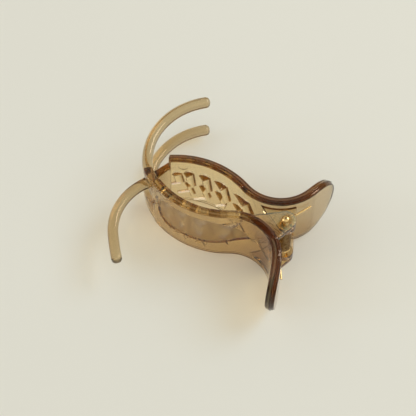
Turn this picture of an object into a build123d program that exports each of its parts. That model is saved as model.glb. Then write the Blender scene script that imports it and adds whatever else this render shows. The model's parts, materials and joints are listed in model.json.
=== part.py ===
from build123d import *
import os
from math import atan2, cos, degrees, radians, sin, sqrt

# A ponytail claw clip of clear brown plastic, closed and lying on its side.
# Millimetres. The hinge pin stands upright, +X runs from the claws to the thumb
# levers, +Y towards the rear jaw, and both jaws rest on their lower rims at z = 0.
# Sizes below are laid out about the pin's axis; the last step moves the finished
# clip so that the origin is at the bottom centre of its box.

# Jaw walls, in plan: tangent arcs from the claws to the lever's tip
jaw_height = 24.0
wall = 3.0
wall_to_pin = 8.7
wall_angle = 46.5
bulge_radius = 28.0
bulge_angle = 57.5
waist_radius = 14.5
waist_back_angle = 73.0
waist_front_angle = 26.0
lever_radius = 73.0
lever_angle = 8.5
lever_taper = 13.5
rim_round = 0.8

# Claws: two on the front jaw, one between them on the rear jaw
claw_diameter = 3.5
claw_radius = 19.8
# Both bends of a claw: radius as a share of claw_radius, and turn in degrees
rear_bends = [(1.0, 90.2), (4.14, 6.5)]
front_bends = [(0.91, 32.2), (1.172, 80.6)]
claw_spread = 16.4
root_length = 9.0
rear_root_height = 15.0
front_root_gap = 1.6
root_rim_drop = 0.6
# Claw root: share of its length, share of its spread, and corner as a share of its width
root_sections = [(0.0, 1.0, 0.28), (0.5, 0.38, 0.4), (1.0, 0.0, 0.48)]

# Leaf field, sunk in the front jaw's outer face
field_sink = 0.5
field_height = 14.4
field_middle = 13.4
field_margin = 1.8
field_round = 5.0
field_length = 33.0
field_taper = 17.0

# Woven relief of the inner faces: pockets in two rows, each with a strand that comes out of it
weave_margin = 0.9
weave_length = 30.4
weave_height = 11.4
pocket_depth = 2.0
pocket_bow = 0.65
strand_rise = 0.35
# Pockets: left corner, apex, right corner, and the run of the pocket's strand. Each is a pair,
# along the wall as a share of the weave's length and up from mid height as a share of its height
weave_pockets = [
    ((0.002, 0.368), (0.026, 0.281), (0.109, 0.412), (0.031, -0.456)),
    ((0.135, 0.439), (0.166, 0.228), (0.247, 0.465), (0.026, -0.65)),
    ((0.313, 0.439), (0.359, 0.202), (0.441, 0.465), (0.033, -0.667)),
    ((0.5, 0.421), (0.584, 0.079), (0.668, 0.465), (0.066, -0.614)),
    ((0.776, 0.395), (0.911, 0.149), (1.0, 0.614), (0.062, -0.44)),
    ((0.145, -0.07), (0.176, -0.307), (0.217, -0.158), (0.053, -0.44)),
    ((0.316, -0.123), (0.359, -0.412), (0.405, -0.096), (0.06, -0.44)),
    ((0.51, -0.123), (0.587, -0.509), (0.622, -0.123), (0.056, -0.36)),
    ((0.763, -0.175), (0.842, -0.377), (0.908, -0.018), (0.05, -0.26)),
]
# Cross strands: both ends in the same shares
strand_width = 1.1
cross_strands = [
    ((-0.02, -0.13), (0.109, -0.035)),
    ((0.063, -0.6), (0.214, -0.44)),
    ((0.25, -0.87), (0.41, -0.66)),
    ((0.53, -0.84), (0.67, -0.48)),
]

# Hinge
pin_diameter = 2.0
bore_clearance = 0.05
ear_radius = 3.3
ear_thickness = 2.0
ear_gap = 0.2
ear_rim_drop = 0.1
ear_floor_gap = 0.7
ear_root_angle = 54.0
head_diameter = 3.1
head_height = 1.1
tail_diameter = 2.7
tail_height = 0.45
head_seat = 0.05

# Torsion spring
wire_diameter = 0.75
coil_diameter = 4.4
coil_end_gap = 0.35
leg_foot_angle = 15.5
leg_gap = 0.3

# Modelling allowances: how far joined pieces reach into each other, how far the claw's root
# lies inside its tube's skin, and how far a pocket's cutter starts above the face
overlap = 0.6
inset = 0.05
pocket_mouth = 1.0

# Worked out from the sizes above
mid_height = jaw_height / 2
outer_ear_top = jaw_height - ear_rim_drop
inner_ear_top = outer_ear_top - ear_thickness - ear_gap
inner_ear_foot = ear_floor_gap + ear_thickness + ear_gap
coil_radius = (coil_diameter - wire_diameter) / 2
coil_top = inner_ear_top - ear_thickness - coil_end_gap
coil_bottom = inner_ear_foot + ear_thickness + coil_end_gap


def unit(angle):
    """Plan direction of an angle in degrees."""
    return Vector(cos(radians(angle)), sin(radians(angle)))


def walk(point, heading, arcs):
    """Point and heading at the end of tangent arcs, each (radius, turn left in degrees)."""
    for radius, turn in arcs:
        side = 1 if turn > 0 else -1
        centre = point + unit(heading + 90 * side) * radius
        point = centre + unit(heading - 90 * side + turn) * radius
        heading = heading + turn
    return point, heading


def chain(point, heading, arcs, shift=0.0):
    """Edges of tangent arcs, moved to the left by shift."""
    edges = []
    for radius, turn in arcs:
        side = 1 if turn > 0 else -1
        start = point + unit(heading + 90) * shift
        edges.append(JernArc(start, unit(heading), radius - side * shift, turn))
        point, heading = walk(point, heading, [(radius, turn)])
    return edges


# The wall's middle line passes the pin at wall_to_pin, and is followed both ways
pin_side = Vector(0, wall_to_pin)
waist_back = (waist_radius, -waist_back_angle)
wall_end, back_heading = walk(pin_side, wall_angle + 180, [waist_back, (bulge_radius, bulge_angle)])
wall_heading = back_heading - 180
wall_arcs = [
    (bulge_radius, -bulge_angle),
    (waist_radius, waist_back_angle + waist_front_angle),
    (lever_radius, lever_angle),
]
lever_tip, tip_heading = walk(wall_end, wall_heading, wall_arcs)


def band(low_shift, high_shift):
    """Plan face between two lines beside the wall's middle line."""
    inner = chain(wall_end, wall_heading, wall_arcs, low_shift)
    outer = chain(wall_end, wall_heading, wall_arcs, high_shift)
    ends = [Line(inner[0] @ 0, outer[0] @ 0), Line(inner[-1] @ 1, outer[-1] @ 1)]
    return make_face(inner + outer + ends)


def lever_outline():
    """What is cut off the lever's end to leave it a rounded leaf, seen square to the lever."""
    reach = lever_taper + wall
    plane = Plane(
        origin=(lever_tip.X, lever_tip.Y, mid_height),
        x_dir=unit(tip_heading),
        z_dir=unit(tip_heading - 90),
    )
    block = Pos(reach / 2 - lever_taper, 0) * Rectangle(reach, jaw_height + 2 * wall)
    leaf = Pos(-lever_taper, 0) * Ellipse(lever_taper, mid_height)
    return extrude(plane * (block - leaf), 2 * wall, both=True)


def jaw_wall():
    """The curved wall with its leaf-shaped lever and rounded rims, which are its only curved edges."""
    body = extrude(band(-wall / 2, wall / 2), jaw_height) - lever_outline()
    rims = body.edges().filter_by(GeomType.LINE, reverse=True)
    return fillet(rims, rim_round)


def leaf_prism():
    """The leaf outline, run through the jaw along Y."""
    left = wall_end.X + field_margin
    shoulder = left + field_round
    right = left + field_length
    rise = field_height / 2
    edges = [EllipticalCenterArc((shoulder, 0), field_round, rise, 90, arc_size=180)]
    for side in (rise, -rise):
        taper = Vector(right - field_taper, side)
        edges += [Line((shoulder, side), taper), TangentArc(taper, (right, 0), tangent=(1, 0))]
    plane = Plane(origin=(0, 0, field_middle), x_dir=(1, 0, 0), z_dir=(0, -1, 0))
    return extrude(plane * make_face(edges), wall_to_pin * 3, both=True)


def along(distance):
    """Point and heading of the wall's middle line at a distance from the claw end."""
    point, heading = wall_end, wall_heading
    for radius, turn in wall_arcs:
        length = radius * radians(abs(turn))
        if distance <= length:
            break
        point, heading = walk(point, heading, [(radius, turn)])
        distance -= length
    side = 1 if turn > 0 else -1
    return walk(point, heading, [(radius, side * degrees(distance / radius))])


def inner_plane(distance):
    """Plane on the inner face: x along the wall, y up from mid height, z out of the face."""
    point, heading = along(distance)
    foot = point + unit(heading - 90) * (wall / 2)
    return Plane(origin=(foot.X, foot.Y, mid_height), x_dir=unit(heading), z_dir=unit(heading - 90))


def on_face(spots):
    """Plane amid spots on the inner face, and the spots in it; spots are shares of the weave's size."""
    ends = [along_share for along_share, _ in spots]
    middle = (min(ends) + max(ends)) / 2
    plane = inner_plane(weave_margin + middle * weave_length)
    return plane, [Vector((x - middle) * weave_length, y * weave_height) for x, y in spots]


def woven(body):
    """Raises the weave's strands on the inner face, then cuts its pockets."""
    pockets, strands = [], []
    for left, apex, right, run in weave_pockets:
        far = [(corner[0] + run[0], corner[1] + run[1]) for corner in (right, apex)]
        plane, outline = on_face([apex, right, *far])
        strand = make_face(Polyline(*outline, close=True))
        strands.append(extrude(plane.offset(strand_rise) * strand, -strand_rise - wall / 2))
        plane, (left, apex, right) = on_face([left, apex, right])
        opening = make_face([Line(left, apex), Line(apex, right), SagittaArc(left, right, pocket_bow)])
        pockets.append(extrude(plane.offset(pocket_mouth) * opening, -pocket_depth - pocket_mouth))
    for ends in cross_strands:
        plane, (start, end) = on_face(ends)
        run = end - start
        place = Pos(*((start + end) / 2)) * Rot(0, 0, degrees(atan2(run.Y, run.X)))
        strand = plane.offset(strand_rise) * place * Rectangle(run.length, strand_width)
        strands.append(extrude(strand, -strand_rise - wall / 2))
    return body + strands - pockets


def claw(height, low, high, bends):
    """A claw at a height along its bends, whose root spans low to high on the wall's end."""
    arcs = [(claw_radius * share, turn) for share, turn in bends]
    radius, turn = arcs[0]
    root_turn = degrees(root_length / radius)
    buried = degrees(overlap / radius)
    back = wall_heading + 180
    sections = []
    for share, spread, corner in root_sections:
        point, heading = walk(wall_end, back, [(radius, root_turn * share)])
        if share == 0:
            point = point - unit(heading) * overlap
        bottom = (height - claw_diameter / 2) * (1 - spread) + low * spread + inset
        top = (height + claw_diameter / 2) * (1 - spread) + high * spread - inset
        width = claw_diameter * (1 - spread) + wall * spread - 2 * inset
        plane = Plane(
            origin=(point.X, point.Y, (bottom + top) / 2),
            x_dir=unit(heading + 90),
            z_dir=unit(heading),
        )
        sections.append(plane * RectangleRounded(width, top - bottom, corner * width))
    root = loft(sections)
    point, heading = walk(wall_end, back, [(radius, root_turn - buried)])
    path = Pos(0, 0, height) * Wire(chain(point, heading, [(radius, turn - root_turn + buried), arcs[1]]))
    disc = Plane(origin=path @ 0, z_dir=path % 0) * Circle(claw_diameter / 2)
    tube = sweep(disc, path=path)
    return root + tube + Pos(path @ 1) * Sphere(claw_diameter / 2)


def ear(top):
    """One hinge ear, from the wall's inner face round the pin."""
    back, _ = walk(pin_side, wall_angle + 180, [(waist_radius, -ear_root_angle)])
    root = Line(back, pin_side)
    outline = make_hull(Circle(ear_radius).edges() + root.edges())
    return extrude(Pos(0, 0, top - ear_thickness) * outline, ear_thickness)


def jaw(body, claws, ear_tops):
    """A jaw in the rear jaw's place, from its wall, with the weave, claws and ears."""
    body = woven(body)
    for height, low, high, bends in claws:
        body += claw(height, low, high, bends)
    for top in ear_tops:
        body += ear(top)
    bore = Cylinder(pin_diameter / 2 + bore_clearance, 3 * jaw_height)
    return body - bore


def rear_jaw():
    middle = (mid_height, mid_height - rear_root_height / 2, mid_height + rear_root_height / 2, rear_bends)
    return jaw(jaw_wall(), [middle], [inner_ear_top, inner_ear_foot + ear_thickness])


def front_jaw():
    """The front jaw, whose outer face has the sunk leaf field."""
    high, top = mid_height + front_root_gap / 2, jaw_height - root_rim_drop
    upper = (mid_height + claw_spread / 2, high, top, front_bends)
    lower = (mid_height - claw_spread / 2, jaw_height - top, jaw_height - high, front_bends)
    field = extrude(band(wall / 2 - field_sink, wall / 2 + overlap), jaw_height) & leaf_prism()
    tops = [outer_ear_top, ear_floor_gap + ear_thickness]
    return mirror(jaw(jaw_wall() - field, [upper, lower], tops), about=Plane.XZ)


def hinge_pin():
    """Shaft through all four ears, with a domed head above and a riveted tail below."""
    top = outer_ear_top + head_seat
    bottom = ear_floor_gap - head_seat
    half = head_diameter / 2
    dome_radius = (half * half + head_height * head_height) / (2 * head_height)
    profile = [
        Line((0, bottom - tail_height), (tail_diameter / 2, bottom - tail_height)),
        Line((tail_diameter / 2, bottom - tail_height), (tail_diameter / 2, bottom)),
        Line((tail_diameter / 2, bottom), (pin_diameter / 2, bottom)),
        Line((pin_diameter / 2, bottom), (pin_diameter / 2, top)),
        Line((pin_diameter / 2, top), (half, top)),
        RadiusArc((half, top), (0, top + head_height), -dome_radius),
        Line((0, top + head_height), (0, bottom - tail_height)),
    ]
    return revolve(Plane.XZ * make_face(profile), Axis.Z)


def spring_leg(height, side):
    """Straight leg from the coil's flank to just short of a lever's inner face."""
    foot, heading = walk(pin_side, wall_angle, [(waist_radius, leg_foot_angle)])
    target = foot + unit(heading - 90) * (wall / 2 + leg_gap + wire_diameter / 2)
    distance = target.length
    length = sqrt(distance * distance - coil_radius * coil_radius)
    direction = degrees(atan2(target.Y, target.X)) - degrees(atan2(coil_radius, length))
    start = unit(direction + 90) * coil_radius - unit(direction) * wire_diameter / 2
    plane = Plane(origin=(start.X, start.Y * side, height),
                  z_dir=(unit(direction).X, unit(direction).Y * side, 0))
    return extrude(plane * Circle(wire_diameter / 2), length + wire_diameter / 2)


def spring():
    """Close-wound coil about the pin, with a leg at each end."""
    turns = int((coil_top - coil_bottom) / wire_diameter)
    pitch = (coil_top - coil_bottom - wire_diameter) / (turns - 1)
    middle = (coil_top + coil_bottom) / 2
    core = Pos(coil_radius, middle) * Rectangle(wire_diameter / 2, coil_top - coil_bottom - wire_diameter)
    outline = core
    for ring in range(turns):
        height = coil_bottom + wire_diameter / 2 + ring * pitch
        outline += Pos(coil_radius, height) * Circle(wire_diameter / 2)
    coil = revolve(Plane.XZ * outline, Axis.Z)
    legs = spring_leg(coil_top - wire_diameter / 2, 1)
    legs += spring_leg(coil_bottom + wire_diameter / 2, -1)
    return coil + legs


nodes = {
    "rear_jaw": rear_jaw(),
    "front_jaw": front_jaw(),
    "hinge_pin": hinge_pin(),
    "spring": spring(),
}

box = Compound(children=[Compound(node.solids()) for node in nodes.values()]).bounding_box()
to_origin = Pos(-box.center().X, -box.center().Y, -box.min.Z)

os.makedirs("parts", exist_ok=True)
for name, node in nodes.items():
    export_step(to_origin * node, f"parts/{name}.step")
print("pin axis in the part's frame:", to_origin.position.X, to_origin.position.Y)
print("box size:", box.size)
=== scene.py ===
import json
import math

import bmesh
import bpy
import numpy as np
from bpy.props import FloatProperty, FloatVectorProperty, IntProperty, PointerProperty
from mathutils import Matrix, Vector
from mathutils.geometry import convex_hull_2d


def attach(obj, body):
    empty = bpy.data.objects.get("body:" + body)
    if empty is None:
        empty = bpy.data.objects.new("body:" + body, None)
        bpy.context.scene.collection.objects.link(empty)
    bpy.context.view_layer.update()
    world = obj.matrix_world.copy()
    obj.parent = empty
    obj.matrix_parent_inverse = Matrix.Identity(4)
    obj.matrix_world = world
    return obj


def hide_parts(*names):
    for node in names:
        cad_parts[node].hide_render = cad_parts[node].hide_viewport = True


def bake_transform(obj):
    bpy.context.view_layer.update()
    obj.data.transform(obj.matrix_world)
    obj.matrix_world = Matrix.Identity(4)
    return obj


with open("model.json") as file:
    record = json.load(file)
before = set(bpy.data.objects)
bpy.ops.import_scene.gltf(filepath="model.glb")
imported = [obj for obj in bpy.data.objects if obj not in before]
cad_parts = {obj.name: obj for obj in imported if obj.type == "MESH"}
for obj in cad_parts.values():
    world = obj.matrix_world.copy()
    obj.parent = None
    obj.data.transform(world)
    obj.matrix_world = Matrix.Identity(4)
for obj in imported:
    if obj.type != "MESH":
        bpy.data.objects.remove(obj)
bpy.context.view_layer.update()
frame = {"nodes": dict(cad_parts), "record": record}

# The looks of a ponytail claw clip of clear brown plastic, closed and lying on its side.
# Lengths are metres in the frame of the packed part. In plan, each jaw is laid out about
# the hinge pin's axis, and the front jaw is the rear jaw's mould mirrored.

bl_info = {
    "name": "Ponytail claw clip",
    "version": (1, 0, 0),
    "blender": (4, 5, 0),
    "location": "3D View > Sidebar > Claw clip",
    "description": "Clear woven jaws, plated pin and wound spring for the packed clip",
    "category": "Object",
}

MM = 0.001
AXIS = np.array(frame["record"]["behaviour"]["joints"][0]["pos_m"])
AT_PIN = Matrix.Translation((AXIS[0], AXIS[1], 0))


def length(name, millimetres, text):
    return FloatProperty(
        name=name, description=text, default=millimetres * MM, unit="LENGTH", precision=5
    )


def turn(name, degrees, text):
    return FloatProperty(
        name=name, description=text, default=math.radians(degrees), subtype="ANGLE"
    )


def number(name, value, text):
    return FloatProperty(name=name, description=text, default=value)


def count(name, value, text):
    return IntProperty(name=name, description=text, default=value, min=1)


def colour(name, rgb, text):
    return FloatVectorProperty(
        name=name, description=text, default=rgb, size=3, subtype="COLOR", min=0, max=1
    )


class JawSizes(bpy.types.PropertyGroup):
    """The plan curve and section that both jaws share."""

    height: length("Height", 24.0, "Height of the wall along the pin")
    wall: length("Wall", 3.0, "Thickness of the wall")
    to_pin: length("Wall to pin", 8.7, "From the pin's axis to the wall's middle line")
    lean: turn("Lean", 46.5, "Heading of the wall where it passes the pin")
    bulge: length("Bulge radius", 28.0, "Radius of the bulge round the hair")
    bulge_turn: turn("Bulge turn", 57.5, "Angle that the bulge covers")
    waist: length("Waist radius", 14.5, "Radius of the waist beside the pin")
    waist_back: turn("Waist turn to the bulge", 73.0, "Angle of the waist on the claws' side")
    waist_front: turn("Waist turn to the lever", 26.0, "Angle of the waist on the lever's side")
    lever: length("Lever radius", 73.0, "Radius of the thumb lever")
    lever_turn: turn("Lever turn", 8.5, "Angle that the thumb lever covers")
    taper: length("Lever taper", 13.5, "Length over which the lever's outline closes")
    rim: length("Rim rounding", 0.8, "Rounding along the rims")
    crown: length("Parting line", 0.3, "How far the rim falls away from the mould's parting line")
    parting: length("Parting place", 0.27, "From the wall's middle to the parting line")


class FieldSizes(bpy.types.PropertyGroup):
    """The leaf field sunk in the front jaw's outer face."""

    sink: length("Field depth", 0.5, "How far the field is sunk in the outer face")
    edge: length("Field edge", 1.2, "Width of the field's sloped edge")
    height: length("Field height", 14.4, "Greatest height of the leaf")
    middle: length("Field middle", 13.4, "Height of the leaf's middle line")
    margin: length("Field margin", 1.8, "From the wall's claw end to the leaf")
    round: length("Field round", 5.0, "Length of the leaf's rounded end")
    span: length("Field length", 33.0, "Length of the leaf")
    taper: length("Field taper", 17.0, "Length over which the leaf closes to its point")


class WeaveSizes(bpy.types.PropertyGroup):
    """The woven relief of the inner faces."""

    margin: length("Weave margin", 0.9, "From the wall's claw end to the weave")
    span: length("Weave length", 30.4, "Length of the weave")
    height: length("Weave height", 11.4, "Height of the weave")
    depth: length("Pocket depth", 2.0, "Depth of a pocket")
    bow: length("Pocket bow", 0.65, "Bow of a pocket's upper edge")
    rise: length("Strand rise", 0.4, "How far the woven strands stand out of the inner face")
    strand: length("Cross strand", 1.1, "Width of a cross strand")
    groove: length("Groove depth", 0.3, "Depth of the grooves along a strand's sides")
    line: length("Groove width", 0.2, "Half the width of the groove on a strand's right")
    cell: length("Mesh cell", 0.156, "Size of the mesh's cells in the weave")


class ClawSizes(bpy.types.PropertyGroup):
    """The claws and the roots that carry them."""

    diameter: length("Claw diameter", 3.5, "Diameter of a claw")
    radius: length("Claw radius", 19.8, "Radius of the rear claw's main bend")
    spread: length("Claw spread", 16.4, "Height between the front claws' middle lines")
    root: length("Root length", 9.0, "Length of a claw's root")
    rear_root: length("Rear root height", 15.0, "Height of the rear claw's root on the wall")
    front_gap: length("Front root gap", 1.6, "Gap between the front claws' roots on the wall")
    drop: length("Root rim drop", 0.6, "From the rim to the front claws' roots")


class HingeSizes(bpy.types.PropertyGroup):
    """The ears round the pin."""

    bore: length("Bore", 2.1, "Diameter of the bore through the ears")
    ear: length("Ear radius", 3.3, "Radius of an ear's end")
    thick: length("Ear thickness", 2.0, "Thickness of an ear")
    gap: length("Ear gap", 0.2, "Gap between the outer and the inner ear")
    drop: length("Ear rim drop", 0.1, "From the upper rim to the outer ear")
    floor: length("Ear floor gap", 0.7, "From the lower rim to the outer ear")
    root_turn: turn("Ear root turn", 54.0, "Stretch of the waist that carries an ear")
    edge: length("Ear edge", 0.3, "Rounding of an ear's edges")


class SpringSizes(bpy.types.PropertyGroup):
    """The torsion spring round the pin."""

    wire: length("Wire", 0.75, "Diameter of the wire")
    coil: length("Coil", 4.4, "Outer diameter of the coil")
    end_gap: length("End gap", 0.35, "From the coil to the inner ears")
    foot: turn("Leg foot turn", 15.5, "Where a leg's foot meets the lever")
    leg_gap: length("Leg gap", 0.3, "From a leg to the lever")
    turns: count("Turns", 15, "Whole turns of the coil")


class Finishes(bpy.types.PropertyGroup):
    """Colours and surface values of the clip."""

    tint: colour("Plastic tint", (0.76, 0.575, 0.13), "What the plastic's depth lets through")
    density: number("Plastic density", 278.0, "How fast the plastic takes light away, per metre")
    index: number("Plastic refraction", 1.53, "How strongly the plastic bends light")
    gloss: number("Plastic roughness", 0.03, "Roughness of the polished plastic")
    frost: number("Field roughness", 0.65, "Added roughness of the leaf field and claw tips")
    # Painted light: a pale matt layer that lightens the upper ears' tops
    skin: colour("Ear top light", (0.64, 0.64, 0.4), "Pale matt layer that paints light on top of the upper ears")
    haze: colour("Field haze", (0.36, 0.24, 0.11), "Matt haze on the leaf field and claw tips")
    plate: colour("Plating", (0.74, 0.5, 0.2), "Colour of the pin's gold plating")
    wire: colour("Wire", (1.0, 0.73, 0.33), "Colour of the spring's wire")
    # Also the colour of the painted shade on the spring's coil and under its legs
    tarnish_and_shade: colour("Tarnish", (0.16, 0.09, 0.035), "Colour of plating and wire with wear, and of painted shade on the spring")


class StageSettings(bpy.types.PropertyGroup):
    """Floor, light and camera."""

    floor: colour("Floor", (0.75, 0.75, 0.665), "Colour of the floor")
    sky: number("Sky", 0.98, "Strength of the light from all round")
    dark: colour("Dark ceiling", (0.16, 0.14, 0.12), "Unlit part of the room, high at the back")
    lamp: number("Window", 11.0, "Power of the soft light from the upper right")
    fill: number("Lamp", 3.0, "Power of the small lamp at the front left")
    focal: number("Focal length", 136.88, "Focal length on a sensor 36 mm wide")


# Mesh building

def unit(angle):
    """Plan direction of an angle."""
    return np.array([math.cos(angle), math.sin(angle)])


def normalised(vectors):
    """Vectors in rows, each brought to length 1."""
    return vectors / np.linalg.norm(vectors, axis=1)[:, None]


def soft_step(value, low, high):
    """0 below low, 1 above high, smooth between."""
    share = np.clip((value - low) / (high - low), 0, 1)
    return share * share * (3 - 2 * share)


def spaced(stops, steps):
    """Numbers from stop to stop, at most a step apart in each stretch."""
    values = [stops[0]]
    for begin, end, step in zip(stops, stops[1:], steps):
        parts = max(1, math.ceil((end - begin) / step - 1e-6))
        values += list(np.linspace(begin, end, parts + 1)[1:])
    return np.array(values)


class Path:
    """Tangent arcs in plan, each a radius and a turn to the left, followed from a start."""

    def __init__(self, start, heading, arcs):
        self.pieces = []
        self.length = 0.0
        for radius, angle in arcs:
            bend = math.copysign(radius, angle)
            centre = start + bend * unit(heading + math.pi / 2)
            self.pieces.append((self.length, centre, heading, bend))
            self.length += radius * abs(angle)
            heading += angle
            start = centre + bend * unit(heading - math.pi / 2)
        self.end, self.end_heading = start, heading

    def at(self, distance):
        """Points and headings at distances, which may run past either end."""
        distance = np.asarray(distance, float)
        points, headings = np.zeros(distance.shape + (2,)), np.zeros(distance.shape)
        for place, (begin, centre, heading, bend) in enumerate(self.pieces):
            here = distance >= begin if place else np.ones(distance.shape, bool)
            angle = heading + (distance[here] - begin) / bend
            points[here] = centre + bend * np.stack([np.sin(angle), -np.cos(angle)], -1)
            headings[here] = angle
        return points, headings


def beside_pin(jaw):
    """The spot on the wall's middle line that is nearest to the pin."""
    return np.array([0.0, jaw.to_pin])


def wall_path(jaw):
    """The wall's middle line, from the claw end to the lever's tip, about the pin's axis."""
    to_claws = [(jaw.waist, -jaw.waist_back), (jaw.bulge, jaw.bulge_turn)]
    back = Path(beside_pin(jaw), jaw.lean + math.pi, to_claws)
    waist = (jaw.waist, jaw.waist_back + jaw.waist_front)
    arcs = [(jaw.bulge, -jaw.bulge_turn), waist, (jaw.lever, jaw.lever_turn)]
    return Path(back.end, back.end_heading - math.pi, arcs)


def beside(path, distance, outward, height):
    """Points beside a path: distance along it, outward to its left, and height."""
    points, headings = path.at(distance)
    x = points[..., 0] - np.sin(headings) * outward
    y = points[..., 1] + np.cos(headings) * outward
    return np.stack([x, y, np.broadcast_to(height, x.shape)], -1)


def linked_piece(name, build):
    """A piece in the scene from a bmesh, with its faces turned outwards."""
    bmesh.ops.recalc_face_normals(build, faces=build.faces)
    mesh = bpy.data.meshes.new(name)
    build.to_mesh(mesh)
    build.free()
    piece = bpy.data.objects.new(name, mesh)
    bpy.context.scene.collection.objects.link(piece)
    return piece


def mesh_piece(name, points, faces):
    """A closed piece about the pin's axis from its points and faces."""
    mesh = bpy.data.meshes.new(name)
    mesh.from_pydata([tuple(point) for point in points], [], faces)
    build = bmesh.new()
    build.from_mesh(mesh)
    bpy.data.meshes.remove(mesh)
    return linked_piece(name, build)


def band(first, second):
    """Quads between two closed rings of vertices."""
    return np.stack([first, np.roll(first, -1), np.roll(second, -1), second], -1)


TUBE_STEPS = 40
TUBE_ANGLES = np.linspace(0, 2 * math.pi, TUBE_STEPS, endpoint=False)


def tube(name, centres, across, rise, radii, powers):
    """A closed tube through centres, whose rings are superellipses across and up."""
    points = []
    for centre, side, lift, (wide, tall), power in zip(centres, across, rise, radii, powers):
        cosine, sine = np.cos(TUBE_ANGLES), np.sin(TUBE_ANGLES)
        x = np.sign(cosine) * np.abs(cosine) ** (2 / power) * wide
        y = np.sign(sine) * np.abs(sine) ** (2 / power) * tall
        points.append(centre + x[:, None] * side + y[:, None] * lift)
    rings = np.arange(len(points) * TUBE_STEPS).reshape(len(points), TUBE_STEPS)
    faces = [rings[0].tolist(), rings[-1].tolist()]
    for first, second in zip(rings, rings[1:]):
        faces += band(first, second).tolist()
    return mesh_piece(name, np.concatenate(points), faces)


def mark(piece, name, values):
    """Stores one value a vertex for the material."""
    piece.data.attributes.new(name, "FLOAT", "POINT").data.foreach_set("value", values)


# The weave

# Pockets: left corner, apex, right corner, and the run of the pocket's strand. Each is a pair,
# along the wall as a share of the weave's length and up from mid height as a share of its height
POCKETS = (
    ((0.002, 0.368), (0.026, 0.281), (0.109, 0.412), (0.031, -0.456)),
    ((0.135, 0.439), (0.166, 0.228), (0.247, 0.465), (0.026, -0.65)),
    ((0.313, 0.439), (0.359, 0.202), (0.441, 0.465), (0.033, -0.667)),
    ((0.5, 0.421), (0.584, 0.079), (0.668, 0.465), (0.066, -0.614)),
    ((0.776, 0.395), (0.911, 0.149), (1.0, 0.614), (0.062, -0.44)),
    ((0.145, -0.07), (0.176, -0.307), (0.217, -0.158), (0.053, -0.44)),
    ((0.316, -0.123), (0.359, -0.412), (0.405, -0.096), (0.06, -0.44)),
    ((0.51, -0.123), (0.587, -0.509), (0.622, -0.123), (0.056, -0.36)),
    ((0.763, -0.175), (0.842, -0.377), (0.908, -0.018), (0.05, -0.26)),
)
# Cross strands: both ends in the same shares
CROSS_STRANDS = (
    ((-0.02, -0.13), (0.109, -0.035)),
    ((0.063, -0.6), (0.214, -0.44)),
    ((0.25, -0.87), (0.41, -0.66)),
    ((0.53, -0.84), (0.67, -0.48)),
)
POCKET_LIP = (-0.04 * MM, 0.2 * MM)  # A pocket's side wall, from its outline inwards
STRAND_POWER = 5  # How square a strand's section is
STRAND_FOOT = 0.6  # Share of its rise that a strand has where it leaves its pocket
STRAND_SWELL = 0.72  # Share of a half wave that a strand's back follows
STRAND_START, STRAND_END = 0.02, 0.05  # Blends into the wall, as shares of its run
LEFT_GROOVE = 0.8  # Width and depth of a left groove, as a share of the right one
CROSS_POWER, CROSS_RISE, CROSS_BLEND = 2.2, 1.6, 0.4 * MM
# A round mark of the mould, of which the lower half shows
MARK_SPOT, MARK_RADIUS = (4.85 * MM, 21.0 * MM), 1.7 * MM
MARK_WIDTH, MARK_DEPTH = 0.2 * MM, 0.15 * MM
MARK_TOP, MARK_FADE = 20.9 * MM, 0.5 * MM
# Painted light and shade of the inner face, which the plastic's glow and darker base colour follow
PLAIN_LIGHT, PLAIN_END, PLAIN_FADE = 0.27, 36 * MM, 8 * MM
STRAND_LIGHT, STRAND_DARKER, STRAND_SHADE = 0.42, 0.34, 0.35
POCKET_SHADE, MARK_SHADE, LEVER_SHADE = 0.6, 0.7, 0.3
LEVER_FADE = (34 * MM, 42 * MM)


def side_of(along, up, start, end):
    """Distance of spots to the left of the line from start to end."""
    run = end - start
    return ((up - start[1]) * run[0] - (along - start[0]) * run[1]) / np.hypot(*run)


def pocket_shape(weave, along, up, left, apex, right):
    """1 inside a pocket, whose two lower sides are straight and whose upper edge is bowed."""
    run, middle = right - left, (left + right) / 2
    half = np.hypot(*run) / 2
    place = ((along - middle[0]) * run[0] + (up - middle[1]) * run[1]) / (2 * half * half)
    top = weave.bow * (1 - place * place) - side_of(along, up, left, right)
    sides = np.minimum(side_of(along, up, left, apex), side_of(along, up, apex, right))
    return soft_step(np.minimum(sides, top), *POCKET_LIP)


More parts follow.
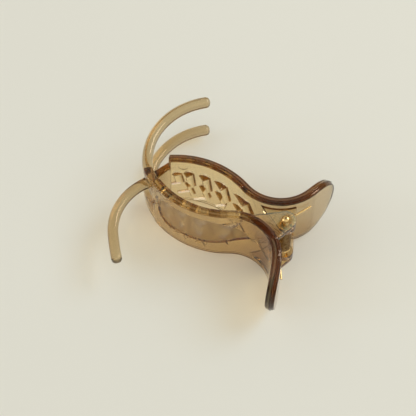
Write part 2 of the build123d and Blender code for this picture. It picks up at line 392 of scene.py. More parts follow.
def weave_height(weave, jaw, along, up):
    """Relief of the inner face, and its light and its shade."""
    size = np.array([weave.span, weave.height])
    origin = np.array([weave.margin, jaw.height / 2])
    strands, pockets, grooves, bars, lit, dim = (np.zeros(along.shape) for _ in range(6))
    for spots in POCKETS:
        left, apex, right = (np.array(spot) * size + origin for spot in spots[:3])
        run = np.array(spots[3]) * size
        edge = right - apex
        area = edge[0] * run[1] - edge[1] * run[0]
        # Place in the strand: share from its left to its right side, way down its run
        share = ((along - apex[0]) * run[1] - (up - apex[1]) * run[0]) / area
        way = ((up - apex[1]) * edge[0] - (along - apex[0]) * edge[1]) / area
        dome = np.sqrt(np.clip(1 - np.abs(2 * share - 1) ** STRAND_POWER, 0, 1))
        wave = np.sin(np.clip(way, 0, 1) * math.pi * STRAND_SWELL)
        ends = soft_step(way, -STRAND_START, STRAND_START) * soft_step(1 - way, 0, STRAND_END)
        strands = np.maximum(strands, dome * (STRAND_FOOT + (1 - STRAND_FOOT) * wave) * ends)
        glow = STRAND_LIGHT - STRAND_DARKER * soft_step(share, 0.3, 1)
        lit = np.maximum(lit, (dome > 0) * ends * glow)
        dim = np.maximum(dim, (dome > 0) * ends * STRAND_SHADE * soft_step(share, 0.5, 1))
        wide = abs(area) / np.hypot(*run) / weave.line
        right_line = 1 - np.abs((share - 1) * wide - 1)
        left_line = LEFT_GROOVE - np.abs(share * wide + LEFT_GROOVE)
        grooves = np.maximum(grooves, np.clip(np.maximum(right_line, left_line), 0, 1) * ends)
        pockets = np.maximum(pockets, pocket_shape(weave, along, up, left, apex, right))
    for corners in CROSS_STRANDS:
        start, end = (np.array(spot) * size + origin for spot in corners)
        run = end - start
        reach = np.hypot(*run)
        way = ((along - start[0]) * run[0] + (up - start[1]) * run[1]) / reach
        across = np.abs(side_of(along, up, start, end)) / (weave.strand / 2)
        dome = np.sqrt(np.clip(1 - across**CROSS_POWER, 0, 1)) * CROSS_RISE
        ends = soft_step(way, 0, CROSS_BLEND) * soft_step(reach - way, 0, CROSS_BLEND)
        bars = np.maximum(bars, dome * ends)
    level = np.where(strands > 0, strands * weave.rise, -weave.groove * grooves)
    level = np.where(bars > 0, np.maximum(bars * weave.rise, level), level)
    reach = np.hypot(along - MARK_SPOT[0], up - MARK_SPOT[1])
    arc = np.clip(1 - np.abs(reach - MARK_RADIUS) / MARK_WIDTH, 0, 1)
    arc = arc * soft_step(MARK_TOP - up, 0, MARK_FADE)
    level = (level - MARK_DEPTH * arc) * (1 - pockets) - weave.depth * pockets
    plain = PLAIN_LIGHT * soft_step(PLAIN_END - along, 0, PLAIN_FADE)
    lit = np.maximum(np.where(strands > 0, lit, plain), np.minimum(bars, 1))
    lines = np.maximum(grooves * (strands <= 0), dim) * (bars <= 0)
    lever = LEVER_SHADE * soft_step(along, *LEVER_FADE)
    shade = np.maximum.reduce([pockets * POCKET_SHADE, lines, arc * MARK_SHADE, lever])
    return level, lit * (1 - pockets), shade


# The walls

# Where a wall's fine mesh cells end, along it and up from mid height, and the cells past them
FINE_ALONG, FINE_UP = 36.5 * MM, 9.0 * MM
COARSE_ALONG, COARSE_UP = 0.8 * MM, 0.5 * MM
LEAF_TURN, LEAF_STEPS = 86, 34  # Degrees of the ellipse that closes a lever, and its points
RIM_TURNS = (15, 30, 45, 60, 75)  # Degrees round a rim's edge
CROWN_RISES = (0.0, 0.35, 0.65, 0.87, 0.97)  # Shares of the way up to the parting line
INNER_CROWN, OUTER_CROWN = 0.9, 0.94  # Where those end, as shares of the way across
ROUNDING = 1.001  # Room for rounding where two places are compared
# Shade at the leaf's edge, below and above its middle line, and on the face round it
LOW_EDGE_SHADE, HIGH_EDGE_SHADE = 4.0, 2.8
FACE_SHADE, FACE_DARKER, FACE_EVEN = 0.08, 0.27, 0.3
STREAK_LIGHT, STREAK_PLACE, STREAK_WIDTH = 0.25, 0.45 * MM, 0.5 * MM  # Light along the rims
FRONT_LIGHT = 0.2  # How much of the weave's light the front jaw has


def field_inside(field, x, left, height):
    """How far a spot lies inside the leaf's outline; negative outside it."""
    shoulder, right = left + field.round, left + field.span
    rise = field.height / 2
    share = np.clip((shoulder - x) / field.round, 0, 1)
    rounded = rise * np.sqrt(1 - share * share)
    radius = (field.taper**2 + rise**2) / (2 * rise)
    reach = np.clip(x - right + field.taper, 0, field.taper)
    pointed = np.sqrt(radius * radius - reach * reach) - (radius - rise)
    half = np.where(x < shoulder, rounded, pointed)
    return np.minimum(half - np.abs(height - field.middle), np.minimum(x - left, right - x))


def outer_shade(field, inside, height):
    """How dark the front jaw's outer face is: at the leaf's edge and away from its middle."""
    slope = np.clip(inside / field.edge, 0, 1)
    below = height < field.middle
    edge = slope * (1 - slope) * np.where(below, LOW_EDGE_SHADE, HIGH_EDGE_SHADE)
    away = np.abs(height - field.middle) / (field.height / 2)
    return np.maximum(edge, FACE_SHADE + FACE_DARKER * soft_step(away, FACE_EVEN, 1))


def rim_section(jaw):
    """Section of a rim from the inner face to the outer one: place across it, and lift."""
    core, low = jaw.wall / 2 - jaw.rim, jaw.rim - jaw.crown
    side = [
        (core + jaw.rim * math.cos(angle), low * math.sin(angle))
        for angle in np.radians(RIM_TURNS)
    ]
    inner, outer = (
        [
            (begin + reach * step, low + jaw.crown * rise)
            for step, rise in zip(np.linspace(0, last, len(CROWN_RISES)), CROWN_RISES)
        ]
        for begin, reach, last in (
            (-core, core - jaw.parting, INNER_CROWN),
            (core, -(core + jaw.parting), OUTER_CROWN),
        )
    )
    top = inner + [(-jaw.parting, jaw.rim)] + outer[::-1]
    return [(-x, y) for x, y in side] + top + side[::-1]


def rim_directions(jaw, along, up, leaf_begin):
    """Where the wall's outline faces, along and up from mid height."""
    middle, leaf = jaw.height / 2, jaw.taper - jaw.rim
    closed = np.clip((along - leaf_begin) / leaf, 0, 1)
    facing = normalised(np.stack([closed / leaf, up / (middle - jaw.rim) ** 2], -1))
    at_end = along < jaw.rim * ROUNDING
    facing[at_end] = (-1, 0)
    corner = at_end & (np.abs(up) > middle - jaw.rim * ROUNDING)
    facing[corner, 1] = np.sign(up[corner])
    return facing


def wall_piece(jaw, weave, field, path):
    """The wall with its leaf-shaped lever, woven inner face, crowned rims and any sunk leaf."""
    rim, middle = jaw.rim, jaw.height / 2
    leaf_begin = path.length - jaw.taper
    flat = spaced([rim, FINE_ALONG, leaf_begin], [weave.cell, COARSE_ALONG])
    closing = np.radians(np.linspace(0, LEAF_TURN, LEAF_STEPS))[1:]
    distance = np.concatenate([flat, leaf_begin + (jaw.taper - rim) * np.sin(closing)])
    half = np.concatenate([np.full(len(flat), middle - rim), (middle - rim) * np.cos(closing)])
    rows = spaced([rim - middle, FINE_UP, middle - rim], [weave.cell, COARSE_UP])
    along, share = np.meshgrid(distance, rows / (middle - rim), indexing="ij")
    height = share * half[:, None] + middle
    relief, light, shade = weave_height(weave, jaw, along, height)
    inner = -jaw.wall / 2 - relief
    outer = np.full(along.shape, jaw.wall / 2)
    haze, dark = np.zeros(along.shape), np.zeros(along.shape)
    if field:
        light *= FRONT_LIGHT
        x = beside(path, along, jaw.wall / 2, 0.0)[..., 0]
        inside = field_inside(field, x, path.at(0.0)[0][0] + field.margin, height)
        outer -= field.sink * soft_step(inside, 0.2 * field.edge, 0.8 * field.edge)
        haze = soft_step(inside, 0.5 * field.edge, field.edge)
        dark = outer_shade(field, inside, height)
    columns, lines = along.shape
    spots = columns * lines
    grid = np.arange(spots).reshape(columns, lines)
    points = [beside(path, along, across, height).reshape(-1, 3) for across in (inner, outer)]
    quads = np.stack([grid[:-1, :-1], grid[1:, :-1], grid[1:, 1:], grid[:-1, 1:]], -1)
    faces = [quads.reshape(-1, 4), quads.reshape(-1, 4) + spots]

    # The rims run round the grid's edge, from the inner face's edge over to the outer one's
    edge = np.concatenate([grid[:-1, 0], grid[-1, :-1], grid[:0:-1, -1], grid[0, :0:-1]])
    edge_along, edge_up = along.ravel()[edge], height.ravel()[edge] - middle
    facing = rim_directions(jaw, edge_along, edge_up, leaf_begin)
    section = rim_section(jaw)
    rings = [edge]
    for place, (across, lift) in enumerate(section):
        rim_along, rim_up = edge_along + facing[:, 0] * lift, edge_up + facing[:, 1] * lift
        points.append(beside(path, rim_along, across, rim_up + middle))
        rings.append(2 * spots + place * len(edge) + np.arange(len(edge)))
    rings.append(edge + spots)
    faces += [band(first, second) for first, second in zip(rings, rings[1:])]
    piece = mesh_piece("wall", np.concatenate(points), np.concatenate(faces).tolist())
    blank, blank_rim = np.zeros(spots), np.zeros(len(section) * len(edge))
    streak = np.array([
        STREAK_LIGHT * max(0.0, 1 - abs(across - STREAK_PLACE) / STREAK_WIDTH)
        for across, _ in section
    ])
    for name, inner_values, outer_values, rim_values in (
        ("field", blank, haze.ravel(), blank_rim),
        ("light", light.ravel(), blank, np.repeat(streak, len(edge))),
        ("shade", shade.ravel(), dark.ravel(), blank_rim),
    ):
        mark(piece, name, np.concatenate([inner_values, outer_values, rim_values]))
    return piece


# Claws and ears

# Both bends of a claw: radius as a share of the claw radius, and turn in degrees
REAR_BENDS = ((1.0, 90.2), (4.14, 6.5))
FRONT_BENDS = ((0.91, 32.2), (1.172, 80.6))
ROOT_BURIED, ROOT_STEP, CLAW_STEP = 0.9 * MM, 0.5 * MM, 1.2 * MM
ROOT_INSET = 0.04 * MM  # From a root's sides to the wall's faces
ROOT_FLARE = 1.5  # How fast a root narrows to the claw
CLAW_POWER, ROOT_POWER = 2.5, 7.0  # How square the sections are
TIP_TURN, TIP_STEPS = 88, 12
TIP_POWER, TIP_REACH = 2.1, 0.9  # How blunt a tip is, and its length in claw radii
CLAW_TOP_SHADE = 0.35  # Painted shade on a claw's top and underside; its sides have 1
EAR_STEPS = 72
SLIVER = 0.001 * MM
JAW_SHARP = 62  # Degrees between faces past which an edge stays sharp


def claw_piece(jaw, claw, path, height, low, high, bends):
    """One claw, from a flared root in the wall's end to a blunt rounded tip."""
    start, heading = path.at(0.0)
    arcs = [(claw.radius * share, math.radians(degrees)) for share, degrees in bends]
    way = Path(start, float(heading) + math.pi, arcs)
    radius = claw.diameter / 2
    stops = [-ROOT_BURIED, 0, claw.root, way.length]
    root = spaced(stops, [ROOT_BURIED, ROOT_STEP, CLAW_STEP])
    blunt = np.sin(np.radians(np.linspace(0, TIP_TURN, TIP_STEPS)[1:]))
    distance = np.concatenate([root, way.length + blunt * radius * TIP_REACH])
    shrink = np.concatenate([np.ones(len(root)), (1 - blunt**TIP_POWER) ** (1 / TIP_POWER)])
    spread = (1 - np.clip(distance / claw.root, 0, 1)) ** ROOT_FLARE
    bottom = (height - radius) * (1 - spread) + low * spread
    top = (height + radius) * (1 - spread) + high * spread
    wide = (radius * (1 - spread) + (jaw.wall / 2 - ROOT_INSET) * spread) * shrink
    points, headings = way.at(np.minimum(distance, way.length))
    past = np.maximum(distance - way.length, 0)
    points = points + past[:, None] * np.stack([np.cos(headings), np.sin(headings)], -1)
    centres = np.column_stack([points, (bottom + top) / 2])
    side = np.stack([-np.sin(headings), np.cos(headings), np.zeros(len(headings))], -1)
    up = np.tile([0.0, 0.0, 1.0], (len(headings), 1))
    radii = np.column_stack([wide, (top - bottom) / 2 * shrink])
    powers = CLAW_POWER + (ROOT_POWER - CLAW_POWER) * spread
    piece = tube("claw", centres, side, up, radii, powers)
    # Painted shade: a claw's sides are darker than its top and underside
    flank = np.abs(np.cos(TUBE_ANGLES)) ** 3
    claw_shade = (CLAW_TOP_SHADE + (1 - CLAW_TOP_SHADE) * flank) * (1 - spread)[:, None]
    mark(piece, "claw", claw_shade.ravel())
    mark(piece, "field", np.repeat(np.sqrt(1 - shrink), TUBE_STEPS))
    return piece


def ear_piece(jaw, hinge, top):
    """One hinge ear round the pin, with rounded edges."""
    back = Path(beside_pin(jaw), jaw.lean + math.pi, [(jaw.waist, -hinge.root_turn)]).end
    turns = np.linspace(0, 2 * math.pi, EAR_STEPS + 1)[:-1]
    outline = [hinge.ear * unit(angle) for angle in turns] + [beside_pin(jaw), back]
    outline = [Vector(point) for point in outline]
    outline = [outline[place] for place in convex_hull_2d(outline)]
    build = bmesh.new()
    ring = [build.verts.new((point.x, point.y, top - hinge.thick)) for point in outline]
    face = build.faces.new(ring)
    grown = bmesh.ops.extrude_face_region(build, geom=[face])["geom"]
    lifted = [part for part in grown if isinstance(part, bmesh.types.BMVert)]
    bmesh.ops.translate(build, verts=lifted, vec=(0, 0, hinge.thick))
    level = [edge for edge in build.edges if abs(edge.verts[0].co.z - edge.verts[1].co.z) < SLIVER]
    bmesh.ops.bevel(
        build, geom=level, offset=hinge.edge, segments=3, profile=0.5, affect="EDGES"
    )
    piece = linked_piece("ear", build)
    depth = top - np.array([vertex.co.z for vertex in piece.data.vertices])
    near = hinge.edge * 0.2
    # Painted light on the upper ears' tops, and painted shade on the ears' rounded edges and sides
    mark(piece, "ear", (depth < near) * float(top > jaw.height / 2))
    mark(piece, "shade", ((depth > near) & (depth < hinge.thick - near)) * 1.0)
    return piece


def combined(body, tools, operation):
    """Joins tools to a body, or cuts them from it, and takes the tools away."""
    for tool in tools:
        step = body.modifiers.new("combine", "BOOLEAN")
        step.operation, step.solver, step.object = operation, "MANIFOLD", tool
    bpy.context.view_layer.update()
    ready = body.evaluated_get(bpy.context.evaluated_depsgraph_get())
    whole = bpy.data.meshes.new_from_object(ready)
    if not len(whole.polygons):
        raise RuntimeError(f"{body.name}: nothing is left after {operation}")
    body.modifiers.clear()
    body.data = whole
    for tool in tools:
        bpy.data.objects.remove(tool)


def settled(piece, place, sharp, material):
    """Puts a piece in its place, smooths it up to an angle and gives it its material."""
    piece.data.transform(place)
    if place.is_negative:
        piece.data.flip_normals()
    piece.data.shade_smooth()
    piece.data.set_sharp_from_angle(angle=math.radians(sharp))
    dress(piece, material)


def make_jaw(name, node, body, claws, ears, field, context):
    """One jaw as one closed mesh, in its node's place; the front jaw, with a field, mirrored."""
    scene = context.scene
    jaw, claw, hinge = scene.clip_jaw, scene.clip_claw, scene.clip_hinge
    path = wall_path(jaw)
    piece = wall_piece(jaw, scene.clip_weave, field, path)
    added = [claw_piece(jaw, claw, path, *row) for row in claws]
    added += [ear_piece(jaw, hinge, top) for top in ears]
    combined(piece, added, "UNION")
    ends = np.array([[0, 0, -jaw.height], [0, 0, 2 * jaw.height]])
    across, rise = np.tile([1.0, 0, 0], (2, 1)), np.tile([0, 1.0, 0], (2, 1))
    bore = tube("bore", ends, across, rise, np.full((2, 2), hinge.bore / 2), [2, 2])
    combined(piece, [bore], "DIFFERENCE")
    # The joins leave a few edges shorter than a thousandth of a millimetre
    build = bmesh.new()
    build.from_mesh(piece.data)
    bmesh.ops.remove_doubles(build, verts=build.verts, dist=SLIVER)
    build.to_mesh(piece.data)
    build.free()
    piece.name = piece.data.name = name
    place = AT_PIN @ Matrix.Scale(-1, 4, (0, 1, 0)) if field else AT_PIN
    settled(piece, place, JAW_SHARP, plastic(context))
    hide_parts(node)
    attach(piece, body)


# The spring

TURN_STEPS, LEG_STEPS = 26, 8
LEG_END = 0.8  # How much of the wire's thickness a leg's cut end has
WIRE_SHARP = 50
# Painted shade on the wire: on the coil up to its last turns, and under the legs, as shares of the
# wire
COIL_SHADED, LEG_SHADED = 0.41, 0.48
# Below this sine round the wire, a leg's underside takes painted shade
UNDERSIDE = -0.25


def spring_way(jaw, hinge, spring):
    """The wire's middle line about the pin's axis, and the heights of the coil's two ends."""
    ring = (spring.coil - spring.wire) / 2
    stack = 2 * hinge.thick + hinge.gap + spring.end_gap + spring.wire / 2
    high, low = jaw.height - hinge.drop - stack, hinge.floor + stack
    lever = Path(beside_pin(jaw), jaw.lean, [(jaw.waist, spring.foot)])
    foot, heading = lever.at(lever.length)
    away = jaw.wall / 2 + spring.leg_gap + spring.wire / 2
    target = foot + unit(float(heading) - math.pi / 2) * away
    reach = np.hypot(*target)
    leg = math.sqrt(reach * reach - ring * ring)
    direction = math.atan2(target[1], target[0]) - math.atan2(ring, leg)
    first = direction + math.pi / 2
    sweep = 2 * math.pi * spring.turns + (-2 * first) % (2 * math.pi)
    share = np.linspace(0, 1, TURN_STEPS * spring.turns)
    angle = first + share * sweep
    fall = high + (low - high) * share
    coil = np.column_stack([ring * np.cos(angle), ring * np.sin(angle), fall])
    tip = np.array([*(ring * unit(first) + leg * unit(direction)), high])
    end = tip * (1, -1, 1) + (0, 0, low - high)
    steps = np.linspace(0, 1, LEG_STEPS)[:, None]
    first_leg = tip + (coil[0] - tip) * steps[:-1]
    last_leg = coil[-1] + (end - coil[-1]) * steps[1:]
    return np.concatenate([first_leg, coil, last_leg]), high, low


def wire_piece(spring, way):
    """The wire round its middle line, with its parts of painted shade marked: the coil and the
    legs' undersides.
    """
    heading = normalised(np.gradient(way, axis=0))
    side = normalised(np.cross([0.0, 0.0, 1.0], heading))
    radii = np.full((len(way), 2), spring.wire / 2)
    radii[[0, -1]] *= LEG_END
    up = np.cross(heading, side)
    piece = tube("torsion_spring", way, side, up, radii, [2] * len(way))
    place = np.abs(np.arange(len(way)) / len(way) - 0.5)
    below = np.sin(TUBE_ANGLES) < UNDERSIDE
    wear_and_shade = (place < COIL_SHADED)[:, None] * 1.0 + below * (place > LEG_SHADED)[:, None]
    mark(piece, "coil", wear_and_shade.ravel())
    return piece


# Materials

class Signal:
    """One output in a node tree, so that shader maths reads as a plain expression."""

    def __init__(self, tree, socket):
        self.tree, self.socket = tree, socket

    def math(self, operation, *values):
        return self.tree.add("ShaderNodeMath", {"operation": operation}, dict(enumerate(values)))

    def __add__(self, other):
        return self.math("ADD", self, other)

    def __sub__(self, other):
        return self.math("SUBTRACT", self, other)

    def __rsub__(self, other):
        return self.math("SUBTRACT", other, self)

    def __mul__(self, other):
        return self.math("MULTIPLY", self, other)

    __radd__, __rmul__ = __add__, __mul__


class Tree:
    """A node tree that is filled by one method."""

    def __init__(self, owner):
        owner.use_nodes = True
        self.nodes, self.links = owner.node_tree.nodes, owner.node_tree.links
        self.nodes.clear()

    def add(self, kind, settings=None, sockets=None, output=0):
        """A node of a kind: its settings are set first, then its sockets' values or links."""
        node = self.nodes.new(kind)
        for key, value in (settings or {}).items():
            if key == "stops":
                ramp = node.color_ramp.elements
                for place, (position, tone) in enumerate(value):
                    stop = ramp[place] if place < len(ramp) else ramp.new(position)
                    stop.position, stop.color = position, tone
            else:
                setattr(node, key, value)
        for key, value in (sockets or {}).items():
            if isinstance(value, Signal):
                self.links.new(value.socket, node.inputs[key])
            else:
                node.inputs[key].default_value = value
        return Signal(self, node.outputs[output]) if node.outputs else node


def opaque(tone):
    """A colour with full alpha, or an output as it is."""
    return tone if isinstance(tone, Signal) else (*tone, 1)


def noise(tree, where, scale, detail=2.0, roughness=0.5):
    """Smooth noise from 0 to 1, with a scale in lumps per metre."""
    sockets = {"Vector": where, "Scale": scale, "Detail": detail, "Roughness": roughness}
    return tree.add("ShaderNodeTexNoise", None, sockets)


def stretched(tree, value, low, high):
    """0 at low, 1 at high and straight between."""
    sockets = {"Value": value, "From Min": low, "From Max": high}
    return tree.add("ShaderNodeMapRange", None, sockets)


def marked(tree, name):
    """The value that a piece's mesh stores under a name."""
    return tree.add("ShaderNodeAttribute", {"attribute_name": name}, None, "Fac")


def mixed(tree, factor, first, second):
    """A colour between two others."""
    sockets = {0: factor, 6: opaque(first), 7: opaque(second)}
    return tree.add("ShaderNodeMix", {"data_type": "RGBA"}, sockets, 2)


def bumped(tree, height, strength, depth):
    """The surface's normal with a fine relief."""
    sockets = {"Height": height, "Strength": strength, "Distance": depth}
    return tree.add("ShaderNodeBump", None, sockets)


# Painted shade in the plastic's colour, from clear to shaded, and how much the claws' marks and the
# shade marks take
CLEAR, SHADED_TONE = (0.98, 0.945, 0.885), (0.3, 0.21, 0.18)
CLAW_TAKES, SHADE_TAKES = 0.55, 0.85
# Painted light: a glow that stands in for light caught in the plastic, with stops for a faint
# bluish glow in painted shade, no glow, lit faces and bright strands
GLOW_STOPS = (
    (0.0, (0.003, 0.005, 0.015, 1)),
    (0.3, (0, 0, 0, 1)),
    (0.6, (0.125, 0.108, 0.056, 1)),
    (1.0, (0.38, 0.36, 0.3, 1)),
)
NO_GLOW, LIGHT_GLOWS, SHADE_DIMS = 0.3, 0.7, 0.5
SMEAR_ROUGHNESS = 0.07
MATT_SHARE, MATT_ROUGHNESS = 0.3, 0.4


def plastic(context):
    """Clear brown plastic, darker with depth, with faint waves, handling marks, matt places, a
    painted glow and painted shade.
    """
    known = bpy.data.materials.get("clear_brown_plastic")
    if known:
        return known
    looks = context.scene.clip_finishes
    material = bpy.data.materials.new("clear_brown_plastic")
    tree = Tree(material)
    where = tree.add("ShaderNodeTexCoord", None, None, "Object")
    waves = noise(tree, where, 260.0, 1.0)
    smears = stretched(tree, noise(tree, where, 420.0, 4.0, 0.6), 0.52, 0.75)
    normal = bumped(tree, waves, 0.35, 0.04 * MM)
    field, ear, light, shade, claw = (
        marked(tree, name) for name in ("field", "ear", "light", "shade", "claw")
    )
    glow = light * LIGHT_GLOWS - shade * SHADE_DIMS + NO_GLOW
    clear = tree.add(
        "ShaderNodeBsdfPrincipled",
        None,
        {
            # Painted shade: a darker base colour on the claws' sides and where the mesh marks shade
            "Base Color": mixed(tree, claw * CLAW_TAKES + shade * SHADE_TAKES, CLEAR, SHADED_TONE),
            # Painted light: an emission glow where the mesh marks light, bluish where it marks
            # shade
            "Emission Color": tree.add("ShaderNodeValToRGB", {"stops": GLOW_STOPS}, {"Fac": glow}),
            "Emission Strength": 1.0,
            "Roughness": looks.gloss + smears * SMEAR_ROUGHNESS + field * looks.frost,
            "IOR": looks.index,
            "Transmission Weight": 1.0,
            "Specular Tint": (1.0, 0.8, 0.6, 1),
            "Normal": normal,
        },
    )
    # On the upper ears' tops the pale matt layer is painted light; on the field and claw tips it is
    # a matt haze
    tone = mixed(tree, field, looks.skin, looks.haze)
    matt = tree.add(
        "ShaderNodeBsdfPrincipled",
        None,
        {"Base Color": tone, "Roughness": MATT_ROUGHNESS, "Normal": normal},
    )
    share = field * MATT_SHARE + ear * MATT_SHARE
    body = tree.add("ShaderNodeMixShader", None, {0: share, 1: clear, 2: matt})
    # Shadow rays pass straight through, which keeps the clip's shadow light
    through = tree.add("ShaderNodeBsdfTransparent", None, {"Color": (0.88, 0.87, 0.86, 1)})
    lamp_ray = tree.add("ShaderNodeLightPath", None, None, "Is Shadow Ray")
    surface = tree.add("ShaderNodeMixShader", None, {0: lamp_ray, 1: body, 2: through})
    sockets = {"Color": opaque(looks.tint), "Density": looks.density}
    depth = tree.add("ShaderNodeVolumeAbsorption", None, sockets)
    tree.add("ShaderNodeOutputMaterial", None, {"Surface": surface, "Volume": depth})
    return material


def plated(context, name, plating, grain):
    """Metal with browner patches of wear, browner still where a piece marks painted shade, and
    grain of a scale in lumps per metre.
    """
    material = bpy.data.materials.new(name)
    tree = Tree(material)
    where = tree.add("ShaderNodeTexCoord", None, None, "Object")
    wear_and_shade = stretched(tree, noise(tree, where, 900.0, 4.0, 0.65), 0.45, 0.8)
    # Painted shade: the coil and the legs' undersides take the tarnish colour as the mesh marks
    # them
    tarnish_and_shade_share = wear_and_shade * 0.3 + marked(tree, "coil") * 0.9
    surface = tree.add(
        "ShaderNodeBsdfPrincipled",
        None,
        {
            "Base Color": mixed(tree, tarnish_and_shade_share, plating, context.scene.clip_finishes.tarnish_and_shade),
            "Metallic": 1.0,
            "Roughness": 0.2 + wear_and_shade * 0.22,
            "Normal": bumped(tree, noise(tree, where, grain, 2.0), 0.25, 0.02 * MM),
        },
    )
    tree.add("ShaderNodeOutputMaterial", None, {"Surface": surface})
    return material


def dress(piece, material):
    """Gives a piece one material."""
    piece.data.materials.clear()
    piece.data.materials.append(material)


# The stage

FLOOR_REACH = 4.0
FAR_FLOOR = (0.3, 0.26, 0.21)
LOW_SKY, HIGH_SKY = (0.22, 0.14, 0.07), (1.0, 0.995, 0.97)
CEILING = (-0.13, 0.28, 0.951)  # Where the dark part of the ceiling lies
# Camera axes, and its place about the pin at mid height, from matching the photograph
CAMERA_RIGHT = Vector((0.9012, 0.43335, 0.00696))
CAMERA_DOWN = Vector((0.37353, -0.76845, -0.51958))
CAMERA_AHEAD = Vector((-0.21981, 0.47085, -0.85439))
CAMERA_OFFSET = (24.6635 * MM, 9.825 * MM, 511.7622 * MM)
LIGHT_BOUNCES = 24


def lay_floor(scene, stage):
    """The pale floor, faintly mottled and darker far from the clip."""
    mesh = bpy.data.meshes.new("floor")
    corners = [(-1, -1), (1, -1), (1, 1), (-1, 1)]
    points = [(x * FLOOR_REACH, y * FLOOR_REACH, 0) for x, y in corners]
    mesh.from_pydata(points, [], [(0, 1, 2, 3)])
    floor = bpy.data.objects.new("floor", mesh)
    scene.collection.objects.link(floor)
    material = bpy.data.materials.new("pale_floor")
    tree = Tree(material)
    where = tree.add("ShaderNodeTexCoord", None, None, "Object")
    reach = tree.add("ShaderNodeVectorMath", {"operation": "LENGTH"}, {0: where}, "Value")
    far = stretched(tree, reach, 0.14, 0.6)
    mottle = noise(tree, where, 9.0, 3.0)
    tone = mixed(tree, mottle * 0.03 + far * 0.9, stage.floor, FAR_FLOOR)
    surface = tree.add("ShaderNodeBsdfPrincipled", None, {"Base Color": tone, "Roughness": 0.7})
    tree.add("ShaderNodeOutputMaterial", None, {"Surface": surface})
    dress(floor, material)


def light_room(scene, stage):
    """A sky that is bright overhead but for a dark ceiling, a soft window and a small lamp."""
    world = bpy.data.worlds.new("studio")
    scene.world = world
    sky = Tree(world)
    where = sky.add("ShaderNodeTexCoord", None, None, "Generated")
    rise = sky.add("ShaderNodeSeparateXYZ", None, {"Vector": where}, "Z")
    bright = mixed(sky, stretched(sky, rise, 0.04, 0.62), LOW_SKY, HIGH_SKY)
    dot = {"operation": "DOT_PRODUCT"}
    facing = sky.add("ShaderNodeVectorMath", dot, {0: where, 1: CEILING}, "Value")
    tone = mixed(sky, stretched(sky, facing, 0.74, 0.95), bright, stage.dark)
    light = sky.add("ShaderNodeBackground", None, {"Color": tone, "Strength": stage.sky})
    sky.add("ShaderNodeOutputWorld", None, {"Surface": light})
    for name, place, size, power in (
        ("window", (0.75, 0.9, 1.15), 0.9, stage.lamp),
        ("lamp", (-1.05, -0.66, 0.42), 0.5, stage.fill),
    ):
        lamp = bpy.data.lights.new(name, "AREA")
        lamp.shape, lamp.size, lamp.energy = "DISK", size, power
        light = bpy.data.objects.new(name, lamp)
        light.location = place
        light.rotation_euler = (-light.location).to_track_quat("-Z", "Y").to_euler()
        scene.collection.objects.link(light)


def set_camera(scene, stage):
    """The camera of the photograph."""
    camera = bpy.data.objects.new("camera", bpy.data.cameras.new("camera"))
    camera.data.sensor_width, camera.data.lens = 36.0, stage.focal
    camera.data.clip_start, camera.data.clip_end = 0.05, 20.0
    right, down, ahead = CAMERA_OFFSET
    place = Vector(AXIS) - CAMERA_RIGHT * right - CAMERA_DOWN * down - CAMERA_AHEAD * ahead
    axes = Matrix((CAMERA_RIGHT, -CAMERA_DOWN, -CAMERA_AHEAD)).transposed()
    camera.matrix_world = Matrix.Translation(place) @ axes.to_4x4()
    scene.collection.objects.link(camera)
    scene.camera = camera


# Operators

class CLAW_CLIP_OT_stage(bpy.types.Operator):
    """The pale floor, the soft light from the upper right and the camera"""

    bl_idname = "claw_clip.stage"
    bl_label = "Stage"

    def execute(self, context):
        scene = context.scene
        for step in (lay_floor, light_room, set_camera):
            step(scene, scene.clip_stage)
        scene.view_settings.view_transform = "Standard"
        scene.cycles.max_bounces = LIGHT_BOUNCES
        scene.cycles.transmission_bounces = LIGHT_BOUNCES
        scene.cycles.transparent_max_bounces = LIGHT_BOUNCES
        return {"FINISHED"}


class CLAW_CLIP_OT_rear_jaw(bpy.types.Operator):
    """The rear jaw, with one claw and the inner ears"""

    bl_idname = "claw_clip.rear_jaw"
    bl_label = "Rear jaw"

    def execute(self, context):
        jaw, claw, hinge = context.scene.clip_jaw, context.scene.clip_claw, context.scene.clip_hinge
        middle, half = jaw.height / 2, claw.rear_root / 2
        claws = [(middle, middle - half, middle + half, REAR_BENDS)]
        upper = jaw.height - hinge.drop - hinge.thick - hinge.gap
        ears = [upper, hinge.floor + 2 * hinge.thick + hinge.gap]
        make_jaw("rear_jaw_clear", "rear_jaw", "rear", claws, ears, None, context)
        return {"FINISHED"}


class CLAW_CLIP_OT_front_jaw(bpy.types.Operator):
    """The front jaw, with two claws and the outer ears"""

    bl_idname = "claw_clip.front_jaw"
    bl_label = "Front jaw"

    def execute(self, context):
        jaw, claw, hinge = context.scene.clip_jaw, context.scene.clip_claw, context.scene.clip_hinge
        middle = jaw.height / 2
        low, high = middle + claw.front_gap / 2, jaw.height - claw.drop
        claws = [
            (middle + claw.spread / 2, low, high, FRONT_BENDS),
            (middle - claw.spread / 2, jaw.height - high, jaw.height - low, FRONT_BENDS),
        ]
        ears = [jaw.height - hinge.drop, hinge.floor + hinge.thick]
        field = context.scene.clip_field
        make_jaw("front_jaw_clear", "front_jaw", "front", claws, ears, field, context)
        return {"FINISHED"}


class CLAW_CLIP_OT_hinge_pin(bpy.types.Operator):
    """The plated finish of the hinge pin"""

    bl_idname = "claw_clip.hinge_pin"
    bl_label = "Hinge pin"

    def execute(self, context):
        finish = plated(context, "plated_pin", context.scene.clip_finishes.plate, 2500.0)
        for slot in frame["nodes"]["hinge_pin"].material_slots:
            slot.material = finish
        return {"FINISHED"}


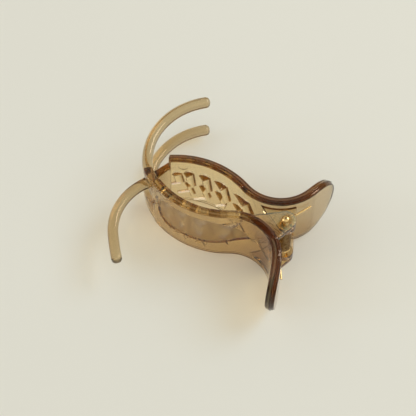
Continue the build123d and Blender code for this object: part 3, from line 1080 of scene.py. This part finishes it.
class CLAW_CLIP_OT_spring(bpy.types.Operator):
    """The torsion spring, one wire wound round the pin with a leg on each lever"""

    bl_idname = "claw_clip.spring"
    bl_label = "Spring"

    def execute(self, context):
        scene = context.scene
        way, high, low = spring_way(scene.clip_jaw, scene.clip_hinge, scene.clip_spring)
        piece = wire_piece(scene.clip_spring, way)
        finish = plated(context, "plated_wire", scene.clip_finishes.wire, 6000.0)
        settled(piece, AT_PIN, WIRE_SHARP, finish)
        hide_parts("spring")
        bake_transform(piece)
        return {"FINISHED"}


class CLAW_CLIP_PT_pieces(bpy.types.Panel):
    """Lists the pieces of the clip and their sizes"""

    bl_idname = "CLAW_CLIP_PT_pieces"
    bl_label = "Claw clip"
    bl_space_type = "VIEW_3D"
    bl_region_type = "UI"
    bl_category = "Claw clip"

    def draw(self, context):
        for operator in OPERATORS:
            self.layout.operator(operator.bl_idname)
        for name, group in GROUPS.items():
            box = self.layout.box()
            box.label(text=group.__doc__)
            for size in group.__annotations__:
                box.prop(getattr(context.scene, name), size)


GROUPS = {
    "clip_jaw": JawSizes,
    "clip_weave": WeaveSizes,
    "clip_field": FieldSizes,
    "clip_claw": ClawSizes,
    "clip_hinge": HingeSizes,
    "clip_spring": SpringSizes,
    "clip_finishes": Finishes,
    "clip_stage": StageSettings,
}
OPERATORS = (
    CLAW_CLIP_OT_stage,
    CLAW_CLIP_OT_rear_jaw,
    CLAW_CLIP_OT_front_jaw,
    CLAW_CLIP_OT_hinge_pin,
    CLAW_CLIP_OT_spring,
)


def register():
    for name, group in GROUPS.items():
        bpy.utils.register_class(group)
        setattr(bpy.types.Scene, name, PointerProperty(type=group))
    for item in (*OPERATORS, CLAW_CLIP_PT_pieces):
        bpy.utils.register_class(item)


def unregister():
    for item in (CLAW_CLIP_PT_pieces, *reversed(OPERATORS)):
        bpy.utils.unregister_class(item)
    for name, group in GROUPS.items():
        delattr(bpy.types.Scene, name)
        bpy.utils.unregister_class(group)


def main():
    register()
    bpy.ops.claw_clip.stage()
    bpy.ops.claw_clip.rear_jaw()
    bpy.ops.claw_clip.front_jaw()
    bpy.ops.claw_clip.hinge_pin()
    bpy.ops.claw_clip.spring()


if __name__ == "__main__":
    main()
